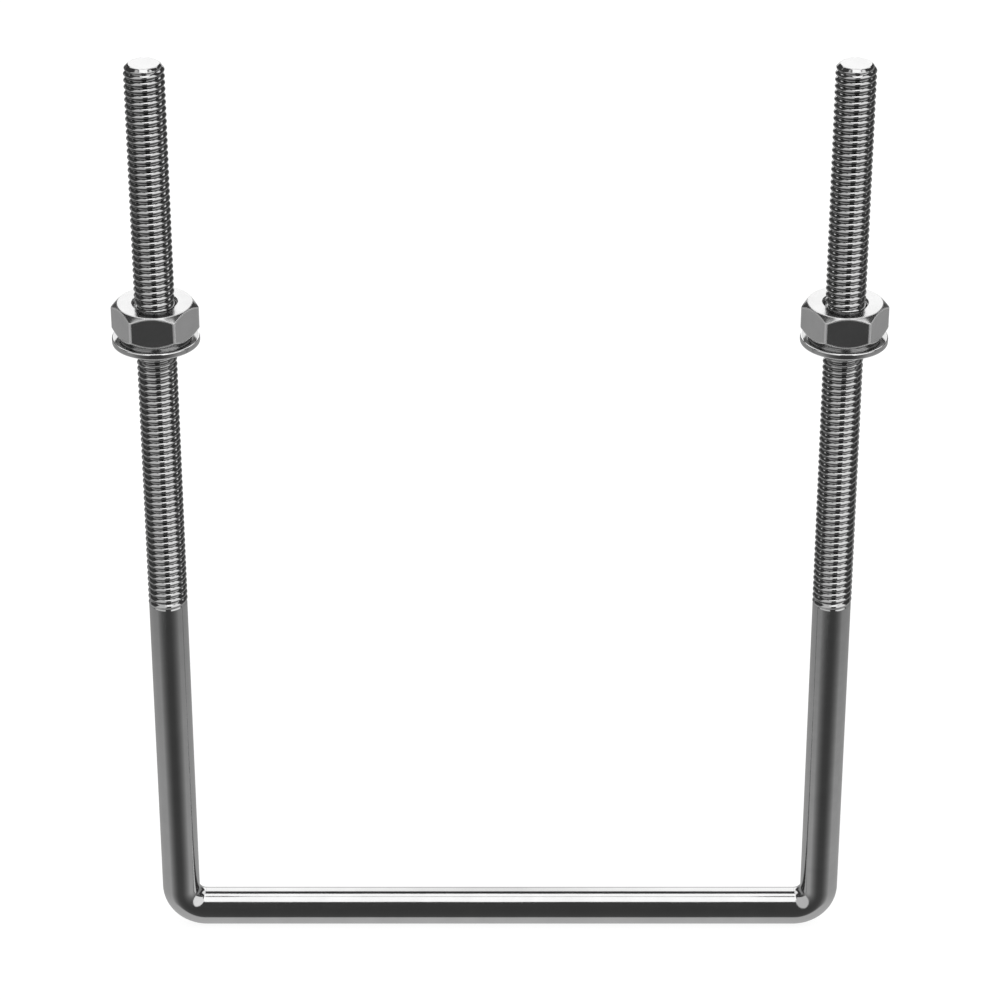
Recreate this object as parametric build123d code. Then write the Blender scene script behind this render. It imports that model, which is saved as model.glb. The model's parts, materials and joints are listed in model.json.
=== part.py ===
from build123d import *
import math
import os

# Square U-bolt of round bar in inch sizes: 3/8"-16 thread, 6" between the legs, with a hex nut
# and a flat washer on each leg.
# Frame: millimetres. +Z runs up the legs to their threaded ends, +X from the left leg to the
# right leg, +Y square to the plane of the bolt. The origin is the middle of the crossbar's
# inner face, where the clamped member sits.
INCH = 25.4

# Bar and thread
THREAD_DIAMETER = 3 / 8 * INCH  # major diameter
SHANK_DIAMETER = 9.33  # plain bar, a little under the rolled thread
END_FACE_DIAMETER = 7.2  # flat left on a leg's end by its 45 degree chamfer
THREAD_SHOULDER = 0.8  # length of the cone at the thread's lower end

# Outline of the bolt
INSIDE_WIDTH = 6 * INCH  # between the shanks
INSIDE_HEIGHT = 8.875 * INCH  # crossbar's inner face to the leg ends
BEND_INNER_RADIUS = 1.7  # tight, square bend
THREAD_LENGTH = 141.0  # leg end down to the thread's lower end

# Washer
WASHER_OUTER_DIAMETER = 20.7
WASHER_BORE_DIAMETER = 13 / 32 * INCH
WASHER_THICKNESS = 1.45
WASHER_EDGE_RADIUS = 0.35
WASHER_BELOW_LEG_END = 70.1  # leg end down to the washer's underside, at rest

# Nut
NUT_ACROSS_FLATS = 18.1
NUT_HEIGHT = 8.7  # with its bearing face
NUT_CORNER_RADIUS = 0.7  # of the six upright edges
NUT_END_CIRCLE = 0.975  # diameter of the flat end, as a share of the width across flats
NUT_CHAMFER_ANGLE = 42  # of the turned-off corners, from the flat end
NUT_BEARING_HEIGHT = 0.75  # round bearing face under the hexagon
NUT_BEARING_DIAMETER = 16.6
NUT_BORE_DIAMETER = THREAD_DIAMETER + 0.1  # running clearance over the thread
NUT_COUNTERSINK_DIAMETER = 10.9

# Worked out from the sizes above
shank_radius = SHANK_DIAMETER / 2
thread_radius = THREAD_DIAMETER / 2
leg_x = INSIDE_WIDTH / 2 + shank_radius
leg_end_z = INSIDE_HEIGHT
thread_bottom_z = leg_end_z - THREAD_LENGTH
washer_bottom_z = leg_end_z - WASHER_BELOW_LEG_END
nut_bottom_z = washer_bottom_z + WASHER_THICKNESS


def turned(corners):
    """A solid turned about the Z axis from (radius, height) corners of its half section."""
    with BuildPart() as part:
        with BuildSketch(Plane.XZ):
            with BuildLine():
                Polyline(*corners, close=True)
            make_face()
        revolve(axis=Axis.Z)
    return part.part


def on_leg(shape, side):
    """The shape moved from the Z axis to the left (-1) or right (1) leg."""
    return shape.moved(Location((side * leg_x, 0, 0)))


def thread():
    """One leg's thread, as a plain cylinder at the major diameter with a chamfered end."""
    chamfer = (THREAD_DIAMETER - END_FACE_DIAMETER) / 2
    return turned(
        [
            (0, thread_bottom_z),
            (shank_radius, thread_bottom_z),
            (thread_radius, thread_bottom_z + THREAD_SHOULDER),
            (thread_radius, leg_end_z - chamfer),
            (END_FACE_DIAMETER / 2, leg_end_z),
            (0, leg_end_z),
        ]
    )


def bent_bar():
    """The plain bar: two shanks and the crossbar, joined by tight square bends."""
    with BuildPart() as bar:
        with BuildLine() as path:
            FilletPolyline(
                (-leg_x, 0, thread_bottom_z),
                (-leg_x, 0, -shank_radius),
                (leg_x, 0, -shank_radius),
                (leg_x, 0, thread_bottom_z),
                radius=BEND_INNER_RADIUS + shank_radius,
            )
        with BuildSketch(Plane(origin=path.line @ 0, z_dir=path.line % 0)):
            Circle(shank_radius)
        sweep()
    return bar.part


def u_bolt():
    """The bent bar with a thread on each leg, as one solid."""
    return bent_bar().fuse(on_leg(thread(), -1), on_leg(thread(), 1))


def washer():
    """A stamped flat washer with rounded outer edges."""
    with BuildPart() as part:
        with BuildSketch(Plane.XY.offset(washer_bottom_z)):
            Circle(WASHER_OUTER_DIAMETER / 2)
            Circle(WASHER_BORE_DIAMETER / 2, mode=Mode.SUBTRACT)
        extrude(amount=WASHER_THICKNESS)
        rims = part.edges().filter_by(GeomType.CIRCLE).sort_by(SortBy.RADIUS)[-2:]
        fillet(rims, WASHER_EDGE_RADIUS)
    return part.part


def nut():
    """A hex nut with both ends chamfered, a round bearing face and a countersunk bore."""
    hex_bottom_z = nut_bottom_z + NUT_BEARING_HEIGHT
    nut_top_z = nut_bottom_z + NUT_HEIGHT
    corner = NUT_ACROSS_FLATS / math.sqrt(3)
    flat_end = NUT_ACROSS_FLATS / 2 * NUT_END_CIRCLE
    drop = (corner - flat_end) * math.tan(math.radians(NUT_CHAMFER_ANGLE))
    sink = (NUT_COUNTERSINK_DIAMETER - NUT_BORE_DIAMETER) / 2
    with BuildPart() as part:
        with BuildSketch(Plane.XY.offset(hex_bottom_z)):
            RegularPolygon(NUT_ACROSS_FLATS / 2, 6, major_radius=False, rotation=0)
        extrude(amount=nut_top_z - hex_bottom_z)
        fillet(part.edges().filter_by(Axis.Z), NUT_CORNER_RADIUS)
        add(
            turned(
                [
                    (0, hex_bottom_z),
                    (flat_end, hex_bottom_z),
                    (corner, hex_bottom_z + drop),
                    (corner, nut_top_z - drop),
                    (flat_end, nut_top_z),
                    (0, nut_top_z),
                ]
            ),
            mode=Mode.INTERSECT,
        )
        with BuildSketch(Plane.XY.offset(nut_bottom_z)):
            Circle(NUT_BEARING_DIAMETER / 2)
        extrude(amount=NUT_BEARING_HEIGHT)
        add(
            turned(
                [
                    (0, nut_bottom_z),
                    (NUT_COUNTERSINK_DIAMETER / 2, nut_bottom_z),
                    (NUT_BORE_DIAMETER / 2, nut_bottom_z + sink),
                    (NUT_BORE_DIAMETER / 2, nut_top_z - sink),
                    (NUT_COUNTERSINK_DIAMETER / 2, nut_top_z),
                    (0, nut_top_z),
                ]
            ),
            mode=Mode.SUBTRACT,
        )
    return part.part


os.makedirs("parts", exist_ok=True)
export_step(u_bolt(), "parts/u_bolt.step")
for name, side in (("left", -1), ("right", 1)):
    export_step(on_leg(washer(), side), f"parts/{name}_washer.step")
    export_step(on_leg(nut(), side), f"parts/{name}_nut.step")
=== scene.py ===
import json
import math

import bpy
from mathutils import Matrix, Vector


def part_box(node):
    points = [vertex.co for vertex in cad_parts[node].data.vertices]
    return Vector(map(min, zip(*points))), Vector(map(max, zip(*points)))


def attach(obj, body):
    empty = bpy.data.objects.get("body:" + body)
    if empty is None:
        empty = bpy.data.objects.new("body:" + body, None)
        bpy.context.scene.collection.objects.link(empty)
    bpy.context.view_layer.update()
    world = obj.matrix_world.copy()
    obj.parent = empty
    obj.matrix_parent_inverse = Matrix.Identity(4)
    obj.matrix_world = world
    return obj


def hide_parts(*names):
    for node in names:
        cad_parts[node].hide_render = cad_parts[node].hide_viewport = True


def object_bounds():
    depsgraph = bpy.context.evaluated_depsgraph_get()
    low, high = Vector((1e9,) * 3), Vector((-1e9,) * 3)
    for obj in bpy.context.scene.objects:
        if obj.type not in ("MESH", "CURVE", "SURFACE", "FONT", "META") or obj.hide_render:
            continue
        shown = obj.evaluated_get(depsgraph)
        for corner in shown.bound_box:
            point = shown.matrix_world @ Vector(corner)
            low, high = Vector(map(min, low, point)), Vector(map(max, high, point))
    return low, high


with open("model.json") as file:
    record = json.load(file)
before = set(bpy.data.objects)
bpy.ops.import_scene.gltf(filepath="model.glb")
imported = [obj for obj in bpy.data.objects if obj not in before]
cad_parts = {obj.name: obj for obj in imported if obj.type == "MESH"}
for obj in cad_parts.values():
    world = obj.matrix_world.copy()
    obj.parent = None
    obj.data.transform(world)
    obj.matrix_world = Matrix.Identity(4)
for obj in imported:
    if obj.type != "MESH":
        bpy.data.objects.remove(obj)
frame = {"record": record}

# Square U-bolt in metres: one bent bar threaded at both ends, with a flat washer and a hex nut on
# each leg. +Z runs up the legs, and the origin is the middle of the crossbar's inner face.
cad_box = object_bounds()


# 1. The bolt. One cold-drawn round bar of stainless steel. Its ends are rolled into a right-hand
# 3/8-16 thread while it is straight, their tips are chamfered, and then it is bent square twice.
inch = 25.4e-3
pitch = inch / 16
leg_pair = next(m for m in frame["record"]["mounts"] if m["name"] == "leg_pair")
thread_radius = leg_pair["dims"]["stud_r_mm"] / 1000
leg_x = leg_pair["dims"]["spacing_x_mm"] / 2000
thread_bottom_z = leg_pair["pos_m"][2]
bolt_low, bolt_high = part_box("u_bolt")
leg_end_z = bolt_high.z
shank_radius = -bolt_low.z / 2
bend_inner_radius = 1.7e-3
bend_radius = shank_radius + bend_inner_radius  # of the bar's centre line
bend_steps = 20
leg_end_radius = 3.6e-3  # the flat left by the chamfer
chamfer_slope = 1.0  # 45 degrees
runout_slope = 0.35  # how fast the rolled grooves rise out to the plain bar
thread_sides = 48
thread_rows = 10  # rows of faces across one pitch
end_lip = 0.2e-3  # of the end face, just inside its rim, where the rim is eased
thread_depth = 0.5 * pitch
# The groove: how deep it is, as a share, at each share of the way from a crest to the root.
groove_shape = [(0.0, 0.0), (0.2, 0.12), (0.4, 0.29), (0.6, 0.465), (0.8, 0.775), (1.0, 1.0)]
# Painted shade in the grooves: how dark, at each share of the way up from one crest to the next.
shade_shape = [(0.0, 0.0), (0.4, 0.0), (0.6, 1.0), (0.95, 1.0), (1.0, 0.0)]
# The painted shade thins out up to the crests and towards the thread's ends. As shares of the groove's
# depth: how far down it is at its fullest, and how far from an end it starts and is at its fullest.
shade_full_depth = 0.1
shade_start, shade_full = 0.9, 1.6
merge_distance = 0.01e-3  # points closer than this are one


def add_node(tree, kind, inputs=None, **settings):
    """Adds a node. Settings are its properties, and inputs are values, or outputs to link from."""
    node = tree.nodes.new(kind)
    for key, value in settings.items():
        setattr(node, key, value)
    for key, value in (inputs or {}).items():
        for item in value if isinstance(value, list) else [value]:
            if isinstance(item, bpy.types.NodeSocket):
                tree.links.new(item, node.inputs[key])
            else:
                node.inputs[key].default_value = item
    return node


def new_tree(name, sockets):
    """A Geometry Nodes tree with these (name, kind) inputs and one geometry output."""
    tree = bpy.data.node_groups.new(name, "GeometryNodeTree")
    for socket, kind in sockets:
        tree.interface.new_socket(name=socket, in_out="INPUT", socket_type="NodeSocket" + kind)
    tree.interface.new_socket(name="Geometry", in_out="OUTPUT", socket_type="NodeSocketGeometry")
    return tree, add_node(tree, "NodeGroupInput").outputs


# The thread is one strip of faces wound up the Z axis. Both its ends close down to a plain ring.
thread_tree, given = new_tree(
    "rolled thread",
    [
        ("Pitch", "Float"),
        ("Crest Radius", "Float"),
        ("Depth", "Float"),
        ("Sides", "Int"),
        ("Rows", "Int"),
        ("First Turn", "Int"),
        ("Turns", "Int"),
        ("Low Height", "Float"),
        ("Low Radius", "Float"),
        ("Low Slope", "Float"),
        ("High Height", "Float"),
        ("High Radius", "Float"),
        ("High Slope", "Float"),
        ("High Lip", "Float"),
    ],
)
across = add_node(thread_tree, "ShaderNodeMath", {0: given["Rows"], 1: 1}, operation="ADD")
along = add_node(
    thread_tree, "ShaderNodeMath", {0: given["Turns"], 1: given["Sides"], 2: 1}, operation="MULTIPLY_ADD"
)
strip = add_node(
    thread_tree,
    "GeometryNodeMeshGrid",
    {
        "Size X": given["Turns"],
        "Size Y": 1.0,
        "Vertices X": along.outputs[0],
        "Vertices Y": across.outputs[0],
    },
)
place = add_node(thread_tree, "GeometryNodeInputPosition")
flat = add_node(thread_tree, "ShaderNodeSeparateXYZ", {0: place.outputs[0]})
turn = add_node(
    thread_tree, "ShaderNodeMath", {0: given["Turns"], 1: 0.5, 2: flat.outputs["X"]}, operation="MULTIPLY_ADD"
)
share = add_node(thread_tree, "ShaderNodeMath", {0: flat.outputs["Y"], 1: 0.5}, operation="ADD")
turns_up = add_node(
    thread_tree, "ShaderNodeMath", {0: turn.outputs[0], 1: share.outputs[0]}, operation="ADD"
)
turns_in_all = add_node(
    thread_tree, "ShaderNodeMath", {0: turns_up.outputs[0], 1: given["First Turn"]}, operation="ADD"
)
wound = add_node(
    thread_tree, "ShaderNodeMath", {0: turns_in_all.outputs[0], 1: given["Pitch"]}, operation="MULTIPLY"
)
height = add_node(
    thread_tree,
    "ShaderNodeClamp",
    {"Value": wound.outputs[0], "Min": given["Low Height"], "Max": given["High Height"]},
)
swing = add_node(thread_tree, "ShaderNodeMath", {0: share.outputs[0], 1: 0.5}, operation="PINGPONG")
from_crest = add_node(thread_tree, "ShaderNodeMath", {0: swing.outputs[0], 1: 2.0}, operation="MULTIPLY")
curves = []
for source, shape in ((from_crest, groove_shape), (share, shade_shape)):
    curve = add_node(thread_tree, "ShaderNodeFloatCurve", {"Value": source.outputs[0]})
    knots = curve.mapping.curves[0].points
    for i, (way, amount) in enumerate(shape):
        knot = knots[i] if i < 2 else knots.new(way, amount)
        knot.location = (way, amount)
        knot.handle_type = "VECTOR"
    curve.mapping.update()
    curves.append(curve)
groove, shade_line = curves
cut = add_node(
    thread_tree, "ShaderNodeMath", {0: groove.outputs[0], 1: given["Depth"]}, operation="MULTIPLY"
)
vee = add_node(
    thread_tree, "ShaderNodeMath", {0: given["Crest Radius"], 1: cut.outputs[0]}, operation="SUBTRACT"
)
radius = vee.outputs[0]
for end, sign in (("Low", 1), ("High", -1)):
    gap = add_node(
        thread_tree, "ShaderNodeMath", {0: height.outputs[0], 1: given[end + " Height"]}, operation="SUBTRACT"
    )
    slope = add_node(
        thread_tree, "ShaderNodeMath", {0: given[end + " Slope"], 1: sign}, operation="MULTIPLY"
    )
    room = add_node(
        thread_tree, "ShaderNodeMath", {0: gap.outputs[0], 1: slope.outputs[0]}, operation="MULTIPLY"
    )
    least = add_node(
        thread_tree, "ShaderNodeMath", {0: given[end + " Radius"], 1: room.outputs[0]}, operation="SUBTRACT"
    )
    most = add_node(
        thread_tree, "ShaderNodeMath", {0: given[end + " Radius"], 1: room.outputs[0]}, operation="ADD"
    )
    kept = add_node(
        thread_tree,
        "ShaderNodeClamp",
        {"Value": radius, "Min": least.outputs[0], "Max": most.outputs[0]},
    )
    radius = kept.outputs[0]
past_end = add_node(
    thread_tree, "ShaderNodeMath", {0: wound.outputs[0], 1: given["High Height"]}, operation="SUBTRACT"
)
onto_end = add_node(
    thread_tree,
    "ShaderNodeClamp",
    {"Value": past_end.outputs[0], "Min": 0.0, "Max": given["High Lip"]},
)
lipped = add_node(thread_tree, "ShaderNodeMath", {0: radius, 1: onto_end.outputs[0]}, operation="SUBTRACT")
radius = lipped.outputs[0]
angle = add_node(
    thread_tree, "ShaderNodeMath", {0: turn.outputs[0], 1: math.tau}, operation="MULTIPLY"
)
cosine = add_node(thread_tree, "ShaderNodeMath", {0: angle.outputs[0]}, operation="COSINE")
sine = add_node(thread_tree, "ShaderNodeMath", {0: angle.outputs[0]}, operation="SINE")
side_x = add_node(thread_tree, "ShaderNodeMath", {0: cosine.outputs[0], 1: radius}, operation="MULTIPLY")
side_y = add_node(thread_tree, "ShaderNodeMath", {0: sine.outputs[0], 1: radius}, operation="MULTIPLY")
point = add_node(
    thread_tree,
    "ShaderNodeCombineXYZ",
    {"X": side_x.outputs[0], "Y": side_y.outputs[0], "Z": height.outputs[0]},
)
# Painted shade: a mask, 1 where the grooves and the crests' undersides are painted dark, stored on the strip.
sunk = add_node(
    thread_tree, "ShaderNodeMath", {0: given["Crest Radius"], 1: radius}, operation="SUBTRACT"
)
sunk_share = add_node(
    thread_tree, "ShaderNodeMath", {0: sunk.outputs[0], 1: given["Depth"]}, operation="DIVIDE"
)
shade_by_depth = add_node(
    thread_tree,
    "ShaderNodeMapRange",
    {"Value": sunk_share.outputs[0], "From Min": 0.0, "From Max": shade_full_depth},
)
below_end = add_node(
    thread_tree, "ShaderNodeMath", {0: given["High Height"], 1: height.outputs[0]}, operation="SUBTRACT"
)
above_end = add_node(
    thread_tree, "ShaderNodeMath", {0: height.outputs[0], 1: given["Low Height"]}, operation="SUBTRACT"
)
nearer_end = add_node(
    thread_tree, "ShaderNodeMath", {0: below_end.outputs[0], 1: above_end.outputs[0]}, operation="MINIMUM"
)
end_share = add_node(
    thread_tree, "ShaderNodeMath", {0: nearer_end.outputs[0], 1: given["Depth"]}, operation="DIVIDE"
)
off_ends = add_node(
    thread_tree,
    "ShaderNodeMapRange",
    {"Value": end_share.outputs[0], "From Min": shade_start, "From Max": shade_full},
)
groove_line = add_node(
    thread_tree, "ShaderNodeMath", {0: shade_line.outputs[0], 1: shade_by_depth.outputs[0]}, operation="MULTIPLY"
)
groove_shade = add_node(
    thread_tree, "ShaderNodeMath", {0: groove_line.outputs[0], 1: off_ends.outputs[0]}, operation="MULTIPLY"
)
shaded_strip = add_node(
    thread_tree,
    "GeometryNodeStoreNamedAttribute",
    {"Geometry": strip.outputs["Mesh"], "Name": "groove oil", "Value": groove_shade.outputs[0]},
    data_type="FLOAT",
)
wind = add_node(
    thread_tree, "GeometryNodeSetPosition", {"Geometry": shaded_strip.outputs[0], "Position": point.outputs[0]}
)
add_node(thread_tree, "NodeGroupOutput", {0: wind.outputs[0]})

# The bolt: a thread on each leg, and the bar swept along its bent centre line.
bolt_tree, given = new_tree(
    "bent bolt",
    [
        ("Geometry", "Geometry"),
        ("Pitch", "Float"),
        ("Thread Radius", "Float"),
        ("Thread Depth", "Float"),
        ("Sides", "Int"),
        ("Rows", "Int"),
        ("First Turn", "Int"),
        ("Turns", "Int"),
        ("Thread Bottom", "Float"),
        ("Shank Radius", "Float"),
        ("Runout Slope", "Float"),
        ("Leg End", "Float"),
        ("Leg End Radius", "Float"),
        ("End Lip", "Float"),
        ("Chamfer Slope", "Float"),
        ("Leg X", "Float"),
        ("Bend Radius", "Float"),
        ("Bend Steps", "Int"),
        ("Merge Distance", "Float"),
        ("Steel", "Material"),
    ],
)
leg_thread = add_node(bolt_tree, "GeometryNodeGroup", node_tree=thread_tree)
for socket, source in (
    ("Pitch", "Pitch"),
    ("Crest Radius", "Thread Radius"),
    ("Depth", "Thread Depth"),
    ("Sides", "Sides"),
    ("Rows", "Rows"),
    ("First Turn", "First Turn"),
    ("Turns", "Turns"),
    ("Low Height", "Thread Bottom"),
    ("Low Radius", "Shank Radius"),
    ("Low Slope", "Runout Slope"),
    ("High Height", "Leg End"),
    ("High Radius", "Leg End Radius"),
    ("High Slope", "Chamfer Slope"),
    ("High Lip", "End Lip"),
):
    bolt_tree.links.new(given[source], leg_thread.inputs[socket])
smooth_thread = add_node(bolt_tree, "GeometryNodeSetShadeSmooth", {"Geometry": leg_thread.outputs[0]})
disc_radius = add_node(
    bolt_tree, "ShaderNodeMath", {0: given["Leg End Radius"], 1: given["End Lip"]}, operation="SUBTRACT"
)
disc = add_node(
    bolt_tree,
    "GeometryNodeMeshCircle",
    {"Vertices": given["Sides"], "Radius": disc_radius.outputs[0]},
    fill_type="TRIANGLE_FAN",
)
flat_disc = add_node(
    bolt_tree, "GeometryNodeSetShadeSmooth", {"Geometry": disc.outputs[0], "Shade Smooth": False}
)
up_to_end = add_node(bolt_tree, "ShaderNodeCombineXYZ", {"Z": given["Leg End"]})
end_face = add_node(
    bolt_tree,
    "GeometryNodeTransform",
    {"Geometry": flat_disc.outputs[0], "Translation": up_to_end.outputs[0]},
)
one_leg = add_node(
    bolt_tree,
    "GeometryNodeJoinGeometry",
    {0: [smooth_thread.outputs[0], end_face.outputs[0]]},
)
# Where each point lay on the straight bar, before it was bent, for the marks left by drawing.
leg_place = add_node(bolt_tree, "GeometryNodeInputPosition")
marked_leg = add_node(
    bolt_tree,
    "GeometryNodeStoreNamedAttribute",
    {"Geometry": one_leg.outputs[0], "Name": "straight bar", "Value": leg_place.outputs[0]},
    data_type="FLOAT_VECTOR",
)
legs = []
for side in (-1, 1):
    leg_offset = add_node(bolt_tree, "ShaderNodeMath", {0: given["Leg X"], 1: side}, operation="MULTIPLY")
    offset = add_node(bolt_tree, "ShaderNodeCombineXYZ", {"X": leg_offset.outputs[0]})
    leg = add_node(
        bolt_tree,
        "GeometryNodeTransform",
        {"Geometry": marked_leg.outputs[0], "Translation": offset.outputs[0]},
    )
    legs.append(leg.outputs[0])
centre_line = add_node(bolt_tree, "GeometryNodeMeshToCurve", {0: given["Geometry"]})
bent_line = add_node(
    bolt_tree,
    "GeometryNodeFilletCurve",
    {"Curve": centre_line.outputs[0], "Count": given["Bend Steps"], "Radius": given["Bend Radius"]},
    mode="POLY",
)
length = add_node(bolt_tree, "GeometryNodeSplineParameter")
measured_line = add_node(bolt_tree, "GeometryNodeCaptureAttribute")
measured_line.capture_items.new("FLOAT", "Length")
bolt_tree.links.new(bent_line.outputs[0], measured_line.inputs[0])
bolt_tree.links.new(length.outputs["Length"], measured_line.inputs[1])
round_section = add_node(
    bolt_tree,
    "GeometryNodeCurvePrimitiveCircle",
    {"Resolution": given["Sides"], "Radius": given["Shank Radius"]},
    mode="RADIUS",
)
section_place = add_node(bolt_tree, "GeometryNodeInputPosition")
marked_section = add_node(bolt_tree, "GeometryNodeCaptureAttribute")
marked_section.capture_items.new("VECTOR", "Place")
bolt_tree.links.new(round_section.outputs[0], marked_section.inputs[0])
bolt_tree.links.new(section_place.outputs[0], marked_section.inputs[1])
bar = add_node(
    bolt_tree,
    "GeometryNodeCurveToMesh",
    {"Curve": measured_line.outputs[0], "Profile Curve": marked_section.outputs[0]},
)
drop = add_node(
    bolt_tree,
    "ShaderNodeMath",
    {0: given["Thread Bottom"], 1: measured_line.outputs[1]},
    operation="SUBTRACT",
)
section_xyz = add_node(bolt_tree, "ShaderNodeSeparateXYZ", {0: marked_section.outputs[1]})
bar_place = add_node(
    bolt_tree,
    "ShaderNodeCombineXYZ",
    {"X": section_xyz.outputs["X"], "Y": section_xyz.outputs["Y"], "Z": drop.outputs[0]},
)
smooth_bar = add_node(bolt_tree, "GeometryNodeSetShadeSmooth", {"Geometry": bar.outputs[0]})
marked_bar = add_node(
    bolt_tree,
    "GeometryNodeStoreNamedAttribute",
    {"Geometry": smooth_bar.outputs[0], "Name": "straight bar", "Value": bar_place.outputs[0]},
    data_type="FLOAT_VECTOR",
)
whole = add_node(bolt_tree, "GeometryNodeJoinGeometry", {0: legs + [marked_bar.outputs[0]]})
merged = add_node(
    bolt_tree,
    "GeometryNodeMergeByDistance",
    {"Geometry": whole.outputs[0], "Distance": given["Merge Distance"]},
)
real = add_node(bolt_tree, "GeometryNodeRealizeInstances", {0: merged.outputs[0]})
painted = add_node(
    bolt_tree, "GeometryNodeSetMaterial", {"Geometry": real.outputs[0], "Material": given["Steel"]}
)
add_node(bolt_tree, "NodeGroupOutput", {0: painted.outputs[0]})


def linear(hex_colour):
    """An sRGB colour such as "C0C0C0" as linear red, green, blue and alpha."""
    parts = [int(hex_colour[i : i + 2], 16) / 255 for i in (0, 2, 4)]
    red, green, blue = [c / 12.92 if c <= 0.04045 else ((c + 0.055) / 1.055) ** 2.4 for c in parts]
    return red, green, blue, 1.0


# Cold-drawn stainless steel, bright from the die: a neutral mirror softened by hair-fine lines
# along the bar. Real lines are about 0.02 mm apart, drawn here 0.25 mm apart so that they show.
# The grooves of the thread and the undersides of its crests are painted nearly black, as shade.
line_spacing = 0.25e-3
line_length = 12e-3
line_strength = 0.15
cloud_size = 6e-3
smoothest, roughest = 0.07, 0.13
mark_depth = 0.01e-3  # of drawing lines and scuffs
noise_span = {"From Min": 0.3, "From Max": 0.7}  # holds nearly all of a noise's values
drawn_steel = bpy.data.materials.new("drawn stainless steel")
drawn_steel.use_nodes = True
tree = drawn_steel.node_tree
shader = tree.nodes["Principled BSDF"]
shader.inputs["Metallic"].default_value = 1.0
straight = add_node(tree, "ShaderNodeAttribute", attribute_name="straight bar")
along_bar = add_node(
    tree,
    "ShaderNodeMapping",
    {"Vector": straight.outputs["Vector"], "Scale": (1 / line_spacing, 1 / line_spacing, 1 / line_length)},
)
lines = add_node(
    tree,
    "ShaderNodeTexNoise",
    {"Vector": along_bar.outputs[0], "Scale": 1.0, "Detail": 3.0, "Roughness": 0.6},
)
clouds = add_node(
    tree, "ShaderNodeTexNoise", {"Vector": straight.outputs["Vector"], "Scale": 1 / cloud_size, "Detail": 2.0}
)
tone = add_node(
    tree,
    "ShaderNodeMix",
    {0: clouds.outputs["Fac"], 6: linear("C4C4C4"), 7: linear("D2D2D2")},
    data_type="RGBA",
)
# Painted shade: the thread's grooves and crest undersides are mixed towards nearly black 202020.
groove_shade_attribute = add_node(tree, "ShaderNodeAttribute", attribute_name="groove oil")
shaded_tone = add_node(
    tree,
    "ShaderNodeMix",
    {0: groove_shade_attribute.outputs["Fac"], 6: tone.outputs[2], 7: linear("202020")},
    data_type="RGBA",
)
tree.links.new(shaded_tone.outputs[2], shader.inputs["Base Color"])
gloss = add_node(
    tree,
    "ShaderNodeMapRange",
    {"Value": lines.outputs["Fac"], **noise_span, "To Min": smoothest, "To Max": roughest},
)
tree.links.new(gloss.outputs[0], shader.inputs["Roughness"])
scored = add_node(
    tree,
    "ShaderNodeBump",
    {"Height": lines.outputs["Fac"], "Strength": line_strength, "Distance": mark_depth},
)
tree.links.new(scored.outputs[0], shader.inputs["Normal"])


def apply_tree(obj, tree, values):
    """The object's shape after the tree, with these named values, as a plain mesh."""
    modifier = obj.modifiers.new(tree.name, "NODES")
    modifier.node_group = tree
    for item in tree.interface.items_tree:
        if item.in_out == "INPUT" and item.name in values:
            modifier[item.identifier] = values[item.name]
    bpy.context.view_layer.update()
    shaped = obj.evaluated_get(bpy.context.evaluated_depsgraph_get())
    mesh = bpy.data.meshes.new_from_object(shaped)
    obj.modifiers.remove(modifier)
    obj.data = mesh
    return obj


def new_piece(name, points, edges=(), faces=()):
    """A new mesh object at the origin."""
    mesh = bpy.data.meshes.new(name)
    mesh.from_pydata(points, edges, faces)
    obj = bpy.data.objects.new(name, mesh)
    bpy.context.scene.collection.objects.link(obj)
    return obj


def turns_between(low, high):
    """The first whole turn under the low height, and how many turns reach past the high one."""
    first = math.floor(low / pitch) - 1
    return first, math.ceil(high / pitch) - first


first_turn, turns = turns_between(thread_bottom_z, leg_end_z + end_lip)
bent_bolt = new_piece(
    "bent_bolt",
    [
        (-leg_x, 0, thread_bottom_z),
        (-leg_x, 0, -shank_radius),
        (leg_x, 0, -shank_radius),
        (leg_x, 0, thread_bottom_z),
    ],
    [(0, 1), (1, 2), (2, 3)],
)
apply_tree(
    bent_bolt,
    bolt_tree,
    {
        "Pitch": pitch,
        "Thread Radius": thread_radius,
        "Thread Depth": thread_depth,
        "Sides": thread_sides,
        "Rows": thread_rows,
        "First Turn": first_turn,
        "Turns": turns,
        "Thread Bottom": thread_bottom_z,
        "Shank Radius": shank_radius,
        "Runout Slope": runout_slope,
        "Leg End": leg_end_z,
        "Leg End Radius": leg_end_radius,
        "End Lip": end_lip,
        "Chamfer Slope": chamfer_slope,
        "Leg X": leg_x,
        "Bend Radius": bend_radius,
        "Bend Steps": bend_steps,
        "Merge Distance": merge_distance,
        "Steel": drawn_steel,
    },
)
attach(bent_bolt, "u_bolt")
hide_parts("u_bolt")


# 2. The flat washers. Stamped from stainless sheet and tumbled, which rounds their edges. One lies
# loose under each nut, with the side that the punch entered, the rounder one, upwards.
washer_low, washer_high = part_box("left_washer")
washer_radius = (washer_high.y - washer_low.y) / 2
washer_bore_radius = inch * 13 / 64
washer_sides = 128
upper_rounding = 0.35e-3
lower_rounding = 0.3e-3
bore_rounding = 0.15e-3
rounding_steps = 5
longest_rounding = 0.49  # of a side, so that two roundings never meet


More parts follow.
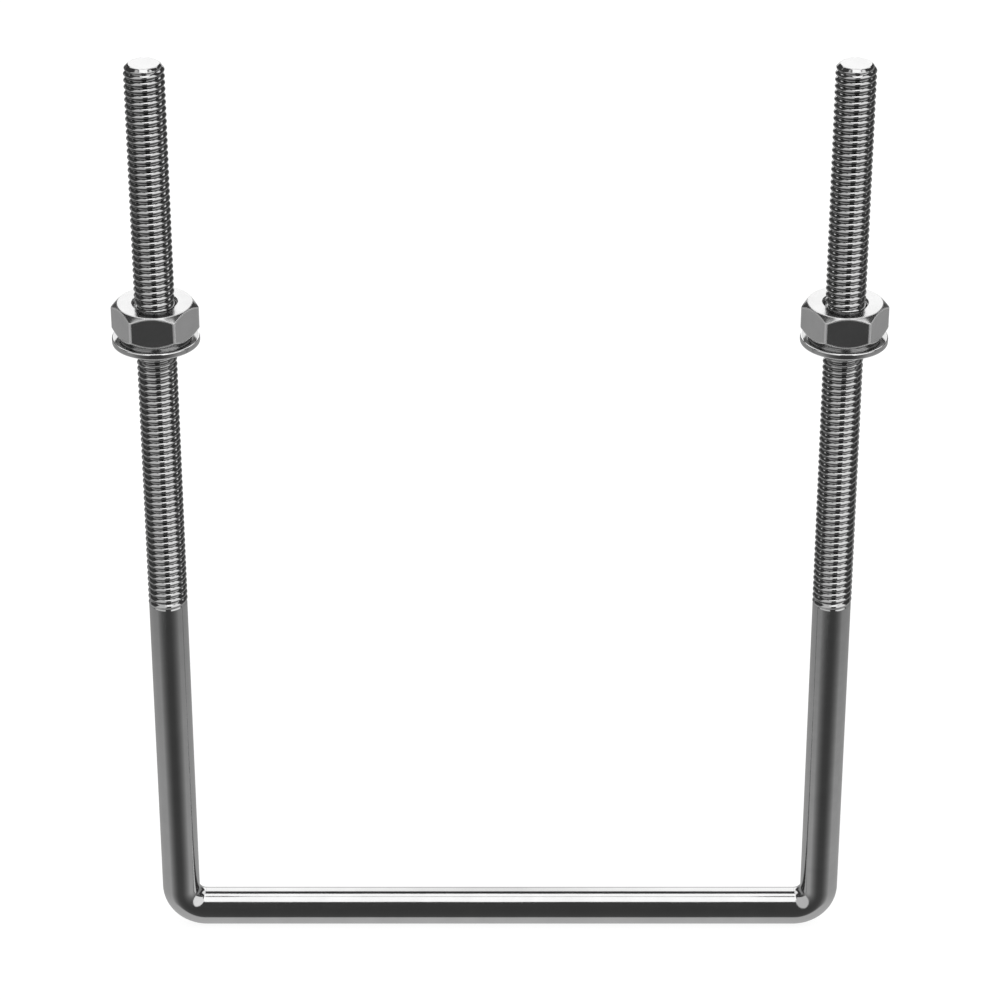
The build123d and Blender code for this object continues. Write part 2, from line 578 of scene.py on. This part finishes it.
def rounded_section(corners):
    """A closed outline with each (radius, height, rounding) corner eased off. Each of its points is
    a radius, a height, and 1 on a rounding or 0 off it."""
    outline = []
    for i, (r, z, rounding) in enumerate(corners):
        if rounding == 0:
            outline.append((r, z, 0.0))
            continue
        ends = []
        for other_r, other_z, _ in (corners[i - 1], corners[(i + 1) % len(corners)]):
            reach = math.hypot(other_r - r, other_z - z)
            part = min(rounding / reach, longest_rounding)
            ends.append((r + (other_r - r) * part, z + (other_z - z) * part))
        for step in range(rounding_steps + 1):
            t = step / rounding_steps
            before, after, mid = (1 - t) ** 2, t**2, 2 * t * (1 - t)
            outline.append(
                (
                    before * ends[0][0] + mid * r + after * ends[1][0],
                    before * ends[0][1] + mid * z + after * ends[1][1],
                    1.0 if 0 < step < rounding_steps else 0.0,
                )
            )
    return outline


def ring_faces(rings, sides, closed):
    """Faces between neighbouring rings of points, the last joined to the first if closed."""
    faces = []
    for ring in range(rings if closed else rings - 1):
        above = (ring + 1) % rings
        for side in range(sides):
            after = (side + 1) % sides
            faces.append(
                (ring * sides + side, ring * sides + after, above * sides + after, above * sides + side)
            )
    return faces


# Tumbled stainless steel: a soft bright skin with fine random scuffs, and a paler painted highlight on the
# rounded edges. Real scuffs are hundredths of a millimetre wide, drawn at 0.3 mm so that they show.
scuff_size = 0.3e-3
scuff_strength = 0.2
patch_size = 5e-3
smoothest, roughest = 0.09, 0.16
tumbled_steel = bpy.data.materials.new("tumbled stainless steel")
tumbled_steel.use_nodes = True
tree = tumbled_steel.node_tree
shader = tree.nodes["Principled BSDF"]
shader.inputs["Metallic"].default_value = 1.0
place = add_node(tree, "ShaderNodeTexCoord")
scuffs = add_node(
    tree,
    "ShaderNodeTexNoise",
    {"Vector": place.outputs["Object"], "Scale": 1 / scuff_size, "Detail": 4.0, "Roughness": 0.65},
)
patches = add_node(
    tree, "ShaderNodeTexNoise", {"Vector": place.outputs["Object"], "Scale": 1 / patch_size, "Detail": 3.0}
)
tone = add_node(
    tree,
    "ShaderNodeMix",
    {0: patches.outputs["Fac"], 6: linear("B4B4B4"), 7: linear("C8C8C8")},
    data_type="RGBA",
)
# Painted highlight: the rounded edges are mixed towards a paler F4F4F4.
rub_and_highlight = add_node(tree, "ShaderNodeAttribute", attribute_name="worn edge")
highlighted_tone = add_node(
    tree,
    "ShaderNodeMix",
    {0: rub_and_highlight.outputs["Fac"], 6: tone.outputs[2], 7: linear("F4F4F4")},
    data_type="RGBA",
)
tree.links.new(highlighted_tone.outputs[2], shader.inputs["Base Color"])
gloss = add_node(
    tree,
    "ShaderNodeMapRange",
    {"Value": scuffs.outputs["Fac"], **noise_span, "To Min": smoothest, "To Max": roughest},
)
tree.links.new(gloss.outputs[0], shader.inputs["Roughness"])
scored = add_node(
    tree,
    "ShaderNodeBump",
    {"Height": scuffs.outputs["Fac"], "Strength": scuff_strength, "Distance": mark_depth},
)
tree.links.new(scored.outputs[0], shader.inputs["Normal"])

for side_name in ("left", "right"):
    washer_low, washer_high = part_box(side_name + "_washer")
    centre_x = (washer_low.x + washer_high.x) / 2
    outline = rounded_section(
        [
            (washer_bore_radius, washer_low.z, bore_rounding),
            (washer_radius, washer_low.z, lower_rounding),
            (washer_radius, washer_high.z, upper_rounding),
            (washer_bore_radius, washer_high.z, bore_rounding),
        ]
    )
    points = [
        (
            centre_x + r * math.cos(math.tau * side / washer_sides),
            r * math.sin(math.tau * side / washer_sides),
            z,
        )
        for r, z, _ in outline
        for side in range(washer_sides)
    ]
    flat_washer = new_piece(
        side_name + "_flat_washer", points, faces=ring_faces(len(outline), washer_sides, True)
    )
    # 1 on the roundings, where the painted highlight goes.
    rub_and_highlight_attribute = flat_washer.data.attributes.new("worn edge", "FLOAT", "POINT")
    rub_and_highlight_attribute.data.foreach_set("value", [edge for _, _, edge in outline for side in range(washer_sides)])
    flat_washer.data.materials.append(tumbled_steel)
    flat_washer.data.shade_smooth()
    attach(flat_washer, side_name + "_washer")
    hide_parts(side_name + "_washer")


# 3. The hex nuts. Cold formed from stainless wire, both ends chamfered to a circle, with a round
# bearing face below. The thread is tapped in step with the leg's, and they turn up and down it.
nut_half_flats = 9.05e-3
nut_corner_radius = 0.7e-3
nut_end_share = 0.975  # of the width across flats, as the diameter of the flat end
nut_end_radius = nut_end_share * nut_half_flats
nut_chamfer_degrees = 42  # of the turned-off corners, from the flat end
nut_chamfer_slope = math.tan(math.radians(nut_chamfer_degrees))
bearing_radius = 8.3e-3
bearing_height = 0.75e-3
countersink_radius = 5.45e-3
countersink_slope = 1.0
face_margin = 0.15e-3  # of each end face, next to the countersink
tapped_clearance = 0.05e-3  # of the nut's thread over the leg's
nut_edge_rounding = 0.2e-3
fillet_degrees = 2.2  # from a corner to the end of its rounding
# Along each edge of a flat runs a line that is made matt and painted paler, as a highlight.
edge_line_width = 0.4e-3  # of the matt line along each edge of a flat
edge_line_reach = edge_line_width / 2 + nut_edge_rounding / 2  # from an edge to the middle of that line
# Degrees from a corner to the middle of a flat, closer together at the corner. A corner faces +X.
half_sector = [0, 0.9, 1.8, 2.5, 5, 10, 16, 23, 30]
sector = half_sector + [60 - a for a in half_sector[-2:0:-1]]
nut_angles = [60 * corner + a for corner in range(6) for a in sector]
nut_sides = len(nut_angles)


def hex_radius(degrees):
    """The distance from the nut's axis to its side, at an angle from a corner."""
    off_corner = math.radians(min(degrees % 60, 60 - degrees % 60))
    off_flat = math.radians(30) - off_corner
    centre = (nut_half_flats - nut_corner_radius) / math.cos(math.radians(30))
    arc_start = math.radians(30) - math.atan(
        (centre * math.sin(math.radians(30))) / nut_half_flats
    )
    if off_corner > arc_start:
        return nut_half_flats / math.cos(off_flat)
    inside = nut_corner_radius**2 - (centre * math.sin(off_corner)) ** 2
    return centre * math.cos(off_corner) + math.sqrt(inside)


# Cold-formed stainless steel, tumbled: flats pressed smooth, with faint scuffs, and edges matt
# where nuts rub together and where the spanner grips, and painted paler there as a highlight.
scuff_size = 0.3e-3
scuff_strength = 0.15
patch_size = 4e-3
smoothest, roughest = 0.16, 0.25
worn_roughness = 0.5
formed_steel = bpy.data.materials.new("cold-formed stainless steel")
formed_steel.use_nodes = True
tree = formed_steel.node_tree
shader = tree.nodes["Principled BSDF"]
shader.inputs["Metallic"].default_value = 1.0
place = add_node(tree, "ShaderNodeTexCoord")
rub_and_highlight = add_node(tree, "ShaderNodeAttribute", attribute_name="worn edge")
patches = add_node(
    tree, "ShaderNodeTexNoise", {"Vector": place.outputs["Object"], "Scale": 1 / patch_size, "Detail": 3.0}
)
skin = add_node(
    tree,
    "ShaderNodeMix",
    {0: patches.outputs["Fac"], 6: linear("C4C4C4"), 7: linear("D4D4D4")},
    data_type="RGBA",
)
# Painted highlight: the edge lines, corners and roundings are mixed towards a paler F4F4F4.
tone = add_node(
    tree,
    "ShaderNodeMix",
    {0: rub_and_highlight.outputs["Fac"], 6: skin.outputs[2], 7: linear("F4F4F4")},
    data_type="RGBA",
)
tree.links.new(tone.outputs[2], shader.inputs["Base Color"])
scuffs = add_node(
    tree,
    "ShaderNodeTexNoise",
    {"Vector": place.outputs["Object"], "Scale": 1 / scuff_size, "Detail": 4.0, "Roughness": 0.65},
)
gloss = add_node(
    tree,
    "ShaderNodeMapRange",
    {"Value": scuffs.outputs["Fac"], **noise_span, "To Min": smoothest, "To Max": roughest},
)
worn_gloss = add_node(
    tree,
    "ShaderNodeMix",
    {0: rub_and_highlight.outputs["Fac"], 2: gloss.outputs[0], 3: worn_roughness},
    data_type="FLOAT",
)
tree.links.new(worn_gloss.outputs[0], shader.inputs["Roughness"])
scored = add_node(
    tree,
    "ShaderNodeBump",
    {"Height": scuffs.outputs["Fac"], "Strength": scuff_strength, "Distance": mark_depth},
)
tree.links.new(scored.outputs[0], shader.inputs["Normal"])

nut_tree, given = new_tree(
    "tapped nut",
    [
        ("Geometry", "Geometry"),
        ("Pitch", "Float"),
        ("Crest Radius", "Float"),
        ("Depth", "Float"),
        ("Sides", "Int"),
        ("Rows", "Int"),
        ("First Turn", "Int"),
        ("Turns", "Int"),
        ("Low Height", "Float"),
        ("High Height", "Float"),
        ("Countersink Radius", "Float"),
        ("Countersink Slope", "Float"),
        ("Merge Distance", "Float"),
        ("Centre", "Vector"),
        ("Steel", "Material"),
    ],
)
tapped = add_node(nut_tree, "GeometryNodeGroup", node_tree=thread_tree)
for socket, source in (
    ("Pitch", "Pitch"),
    ("Crest Radius", "Crest Radius"),
    ("Depth", "Depth"),
    ("Sides", "Sides"),
    ("Rows", "Rows"),
    ("First Turn", "First Turn"),
    ("Turns", "Turns"),
    ("Low Height", "Low Height"),
    ("Low Radius", "Countersink Radius"),
    ("Low Slope", "Countersink Slope"),
    ("High Height", "High Height"),
    ("High Radius", "Countersink Radius"),
    ("High Slope", "Countersink Slope"),
):
    nut_tree.links.new(given[source], tapped.inputs[socket])
inwards = add_node(nut_tree, "GeometryNodeFlipFaces", {0: tapped.outputs[0]})
whole = add_node(nut_tree, "GeometryNodeJoinGeometry", {0: [given["Geometry"], inwards.outputs[0]]})
merged = add_node(
    nut_tree,
    "GeometryNodeMergeByDistance",
    {"Geometry": whole.outputs[0], "Distance": given["Merge Distance"]},
)
on_leg = add_node(
    nut_tree, "GeometryNodeTransform", {"Geometry": merged.outputs[0], "Translation": given["Centre"]}
)
smooth = add_node(nut_tree, "GeometryNodeSetShadeSmooth", {"Geometry": on_leg.outputs[0]})
real = add_node(nut_tree, "GeometryNodeRealizeInstances", {0: smooth.outputs[0]})
painted = add_node(
    nut_tree, "GeometryNodeSetMaterial", {"Geometry": real.outputs[0], "Material": given["Steel"]}
)
add_node(nut_tree, "NodeGroupOutput", {0: painted.outputs[0]})

for side_name in ("left", "right"):
    nut_low, nut_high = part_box(side_name + "_nut")
    hex_low_z = nut_low.z + bearing_height
    columns = []
    for degrees in nut_angles:
        side_radius = hex_radius(degrees)
        chamfer_drop = (side_radius - nut_end_radius) * nut_chamfer_slope
        low_edge_z = hex_low_z + chamfer_drop
        high_edge_z = nut_high.z - chamfer_drop
        outline = rounded_section(
            [
                (countersink_radius, nut_low.z, 0),
                (countersink_radius + face_margin, nut_low.z, 0),
                (bearing_radius, nut_low.z, nut_edge_rounding / 2),
                (bearing_radius, hex_low_z, 0),
                (nut_end_radius, hex_low_z, nut_edge_rounding / 2),
                (side_radius, low_edge_z, nut_edge_rounding),
                (side_radius, low_edge_z + edge_line_width, 0),
                (side_radius, high_edge_z - edge_line_width, 0),
                (side_radius, high_edge_z, nut_edge_rounding),
                (nut_end_radius, nut_high.z, nut_edge_rounding),
                (countersink_radius + face_margin, nut_high.z, 0),
                (countersink_radius, nut_high.z, 0),
            ]
        )
        columns.append((side_radius, chamfer_drop, outline))
    rings = len(outline)
    points = []
    rub_and_highlight_values = []
    for ring in range(rings):
        for side, degrees in enumerate(nut_angles):
            side_radius, chamfer_drop, outline = columns[side]
            r, z, edge = outline[ring]
            # Where the edges are made matt and painted paler, as a highlight.
            to_edge = min(z - hex_low_z, nut_high.z - z) - chamfer_drop
            on_fillet = min(degrees % 60, 60 - degrees % 60) < fillet_degrees
            on_line = on_fillet or to_edge < edge_line_reach
            side_rub_and_highlight = on_line and r > side_radius - merge_distance
            round_rub_and_highlight = edge and r > nut_half_flats - nut_edge_rounding
            rub_and_highlight_values.append(1.0 if side_rub_and_highlight or round_rub_and_highlight else 0.0)
            # The rings at the countersinks are evenly spaced, to meet the thread point for point.
            if ring in (0, rings - 1):
                degrees = 360 * side / nut_sides
            direction = math.radians(degrees)
            points.append((r * math.cos(direction), r * math.sin(direction), z))
    hex_nut = new_piece(side_name + "_hex_nut", points, faces=ring_faces(rings, nut_sides, False))
    rub_and_highlight_attribute = hex_nut.data.attributes.new("worn edge", "FLOAT", "POINT")
    rub_and_highlight_attribute.data.foreach_set("value", rub_and_highlight_values)
    first_turn, turns = turns_between(nut_low.z, nut_high.z)
    apply_tree(
        hex_nut,
        nut_tree,
        {
            "Pitch": pitch,
            "Crest Radius": thread_radius + tapped_clearance,
            "Depth": thread_depth,
            "Sides": nut_sides,
            "Rows": thread_rows,
            "First Turn": first_turn,
            "Turns": turns,
            "Low Height": nut_low.z,
            "High Height": nut_high.z,
            "Countersink Radius": countersink_radius,
            "Countersink Slope": countersink_slope,
            "Merge Distance": merge_distance,
            "Centre": ((nut_low.x + nut_high.x) / 2, 0.0, 0.0),
            "Steel": formed_steel,
        },
    )
    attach(hex_nut, side_name + "_nut")
    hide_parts(side_name + "_nut")


# 4. The studio. The bolt stands on a wide sheet of opal acrylic lit from below, so that the floor
# is white and nearly free of shadow. Around it hang soft white panels, with black cloth between
# them. The steel mirrors these, and they set every light and dark band on it.
floor_size = 6.0
floor_z = cad_box[0].z
floor = new_piece(
    "floor",
    [
        (-floor_size, -floor_size, floor_z),
        (floor_size, -floor_size, floor_z),
        (floor_size, floor_size, floor_z),
        (-floor_size, floor_size, floor_z),
    ],
    faces=[(0, 1, 2, 3)],
)
opal = bpy.data.materials.new("opal acrylic")
opal.use_nodes = True
shader = opal.node_tree.nodes["Principled BSDF"]
shader.inputs["Base Color"].default_value = linear("808080")
shader.inputs["Roughness"].default_value = 0.9
shader.inputs["Emission Color"].default_value = linear("FFFFFF")
shader.inputs["Emission Strength"].default_value = 0.9
floor.data.materials.append(opal)
floor.visible_glossy = False

camera_target = (0.0, 0.0, 0.11273)
camera_distance = 0.9468
camera_pitch = math.radians(28.5)
camera_data = bpy.data.cameras.new("camera")
camera_data.lens = 141.8
camera_data.sensor_width = 36.0
camera = bpy.data.objects.new("camera", camera_data)
bpy.context.scene.collection.objects.link(camera)
camera.location = (
    camera_target[0],
    camera_target[1] - camera_distance * math.cos(camera_pitch),
    camera_target[2] + camera_distance * math.sin(camera_pitch),
)
camera.rotation_euler = (math.pi / 2 - camera_pitch, 0.0, 0.0)
bpy.context.scene.camera = camera

world = bpy.data.worlds.new("studio")
bpy.context.scene.world = world
world.use_nodes = True
tree = world.node_tree
tree.nodes.clear()
sky = add_node(tree, "ShaderNodeTexCoord")
toward = add_node(tree, "ShaderNodeSeparateXYZ", {0: sky.outputs["Generated"]})
rise = add_node(tree, "ShaderNodeMath", {0: toward.outputs["Z"]}, operation="ARCSINE")
elevation = add_node(tree, "ShaderNodeMath", {0: rise.outputs[0]}, operation="DEGREES")
backward = add_node(tree, "ShaderNodeMath", {0: toward.outputs["Y"], 1: -1.0}, operation="MULTIPLY")
heading = add_node(
    tree, "ShaderNodeMath", {0: toward.outputs["X"], 1: backward.outputs[0]}, operation="ARCTAN2"
)
azimuth = add_node(tree, "ShaderNodeMath", {0: heading.outputs[0]}, operation="DEGREES")
off_front = add_node(tree, "ShaderNodeMath", {0: azimuth.outputs[0]}, operation="ABSOLUTE")

# The cloth and the floor's glow: brightness at each elevation in degrees, in front and elsewhere.
front_bands = [(-90, 0.6), (-50, 0.58), (-46, 0.09), (-28, 0.068), (0, 0.06), (90, 0.06)]
side_bands = [(-90, 0.6), (-50, 0.55), (-28, 0.42), (-12, 0.3), (5, 0.06), (90, 0.04)]
front_ends, side_starts = 5.0, 62.0  # degrees off the front
side_onset = 2.0  # above 1, the front gives way slowly at first
surround = []
for bands in (front_bands, side_bands):
    level = add_node(
        tree, "ShaderNodeMapRange", {"Value": elevation.outputs[0], "From Min": -90.0, "From Max": 90.0}
    )
    ramp = add_node(tree, "ShaderNodeValToRGB", {0: level.outputs[0]})
    ramp.color_ramp.elements.remove(ramp.color_ramp.elements[1])
    for i, (degrees, brightness) in enumerate(bands):
        position = (degrees + 90) / 180
        stop = ramp.color_ramp.elements[0] if i == 0 else ramp.color_ramp.elements.new(position)
        stop.position = position
        stop.color = (brightness, brightness, brightness, 1.0)
    surround.append(ramp.outputs[0])
to_side = add_node(
    tree,
    "ShaderNodeMapRange",
    {"Value": off_front.outputs[0], "From Min": front_ends, "From Max": side_starts},
)
sideways = add_node(tree, "ShaderNodeMath", {0: to_side.outputs[0], 1: side_onset}, operation="POWER")
around = add_node(
    tree,
    "ShaderNodeMix",
    {0: sideways.outputs[0], 6: surround[0], 7: surround[1]},
    data_type="RGBA",
)
light = around.outputs[2]

# The panels. Each covers a span of two readings of the direction, with soft edges this wide.
off_back = add_node(tree, "ShaderNodeMath", {0: 180.0, 1: off_front.outputs[0]}, operation="SUBTRACT")
panels = [
    # overhead, from in front of the zenith to a little behind it
    (toward.outputs["X"], (-0.3, 0.3), 0.06, toward.outputs["Y"], (-0.57, 0.36), 0.03, 1.6),
    # the join between its two sheets
    (toward.outputs["X"], (-0.3, 0.3), 0.06, toward.outputs["Y"], (-0.03, 0.05), 0.03, 0.85),
    # behind, tall, and paler towards the floor
    (off_back.outputs[0], (-1.0, 18.0), 8.0, elevation.outputs[0], (0.0, 47.0), 3.0, 1.5),
    (off_back.outputs[0], (-1.0, 18.0), 8.0, elevation.outputs[0], (-14.0, 2.0), 12.0, 0.8),
    # high at both sides, towards the back
    (off_front.outputs[0], (118.0, 168.0), 8.0, elevation.outputs[0], (36.0, 64.0), 5.0, 1.2),
    # low and dim at both sides
    (off_front.outputs[0], (88.0, 140.0), 10.0, elevation.outputs[0], (-12.0, 12.0), 6.0, 0.32),
    # in front at the left and at the right
    (azimuth.outputs[0], (-75.0, -12.0), 3.0, elevation.outputs[0], (-8.0, 62.0), 5.0, 0.72),
    (azimuth.outputs[0], (19.0, 78.0), 3.0, elevation.outputs[0], (0.0, 62.0), 5.0, 1.15),
]
# The overhead panel is placed by X and Y alone, so this keeps it from showing below as well.
above_floor = (toward.outputs["Z"], (-0.7, 2.0), 0.1)
for first, first_span, first_edge, second, second_span, second_edge, brightness in panels:
    share = None
    for reading, (low, high), edge in (
        (first, first_span, first_edge),
        (second, second_span, second_edge),
        above_floor,
    ):
        for limit, step in ((low, edge), (high, -edge)):
            inside = add_node(
                tree,
                "ShaderNodeMapRange",
                {"Value": reading, "From Min": limit - step / 2, "From Max": limit + step / 2},
                interpolation_type="SMOOTHSTEP",
            )
            if share is None:
                share = inside.outputs[0]
            else:
                both = add_node(
                    tree, "ShaderNodeMath", {0: share, 1: inside.outputs[0]}, operation="MULTIPLY"
                )
                share = both.outputs[0]
    panel = add_node(
        tree,
        "ShaderNodeMix",
        {0: share, 6: light, 7: (brightness, brightness, brightness, 1.0)},
        data_type="RGBA",
    )
    light = panel.outputs[2]
surround_light = add_node(tree, "ShaderNodeBackground", {"Color": light, "Strength": 1.0})
backdrop = add_node(tree, "ShaderNodeBackground", {"Color": (1.0, 1.0, 1.0, 1.0), "Strength": 1.0})
path = add_node(tree, "ShaderNodeLightPath")
seen = add_node(
    tree,
    "ShaderNodeMixShader",
    {0: path.outputs["Is Camera Ray"], 1: surround_light.outputs[0], 2: backdrop.outputs[0]},
)
add_node(tree, "ShaderNodeOutputWorld", {"Surface": seen.outputs[0]})
bpy.context.scene.view_settings.view_transform = "Standard"
